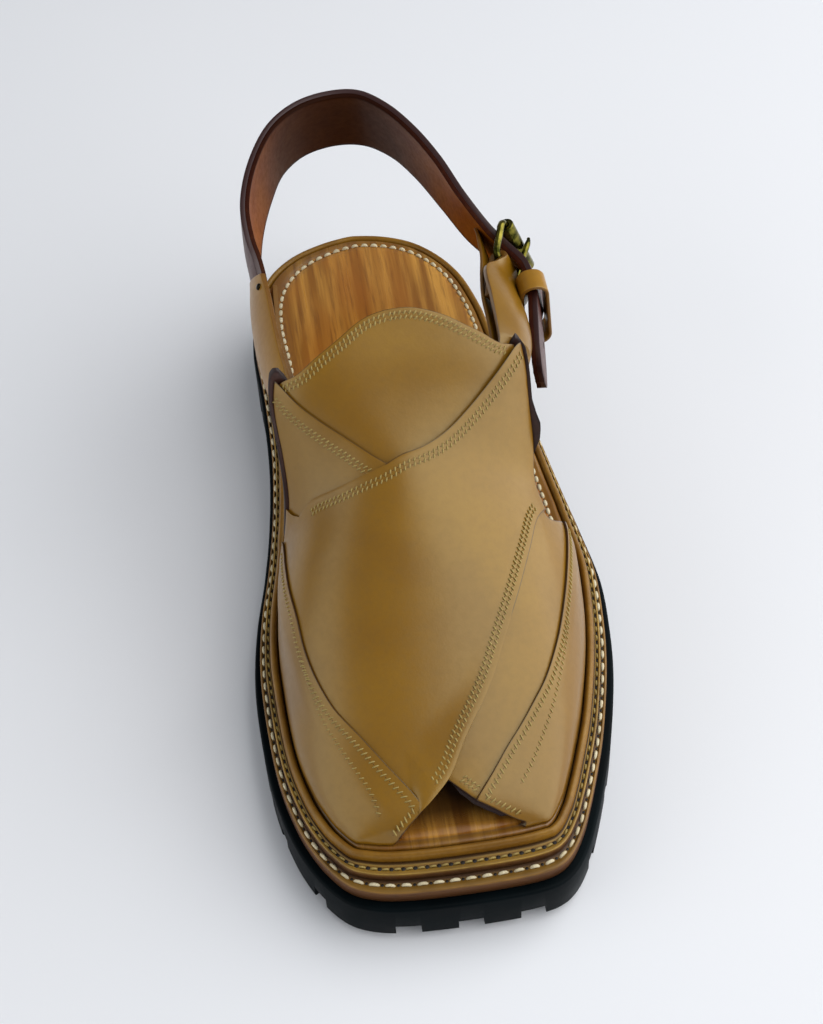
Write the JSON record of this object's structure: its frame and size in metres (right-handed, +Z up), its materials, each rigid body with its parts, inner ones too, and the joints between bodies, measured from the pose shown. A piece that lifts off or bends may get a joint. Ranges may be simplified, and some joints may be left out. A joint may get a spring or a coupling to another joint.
{
  "type": "peshawari chappal",
  "caption": "Closed-strap leather sandal with crossed upper, peep toe, buckled heel strap and thick lugged sole, left foot.",
  "frame": {"origin": "on the floor, under the middle of the shoe's bounding box", "axes": "+Z up, toe towards -Y, heel towards +Y, the buckle side (lateral side of a left foot) towards +X"},
  "size_m": [0.1217, 0.2831, 0.117],
  "materials": {
    "outsole_rubber": "moulded black rubber, satin",
    "midsole_leather": "tan leather, white lockstitch, waxed edge",
    "welt_leather": "waxed brown-tan leather edge, tan stitch in a groove",
    "rand_leather": "rolled brown-tan leather bead, waxed",
    "footbed_leather": "polished russet leather with streaked grain, white stitches near its edge",
    "upper_leather": "smooth oiled tan leather, dark burnished edges, double rows of tan stitches",
    "strap_leather": "brown leather, burnished purple-brown edges",
    "buckle_brass": "polished antique brass"
  },
  "bodies": {
    "root": {"outsole": "outsole_rubber", "midsole": "midsole_leather", "welt": "welt_leather", "rand": "rand_leather", "footbed": "footbed_leather", "upper": "upper_leather", "medial_tab": "upper_leather", "medial_tab_lining": "upper_leather", "buckle_strap": "upper_leather", "buckle_guard": "upper_leather", "keeper_loop": "upper_leather", "heel_strap": "strap_leather", "buckle_frame": "buckle_brass", "buckle_roller": "buckle_brass", "buckle_prong": "buckle_brass"}
  },
  "joints": []
}
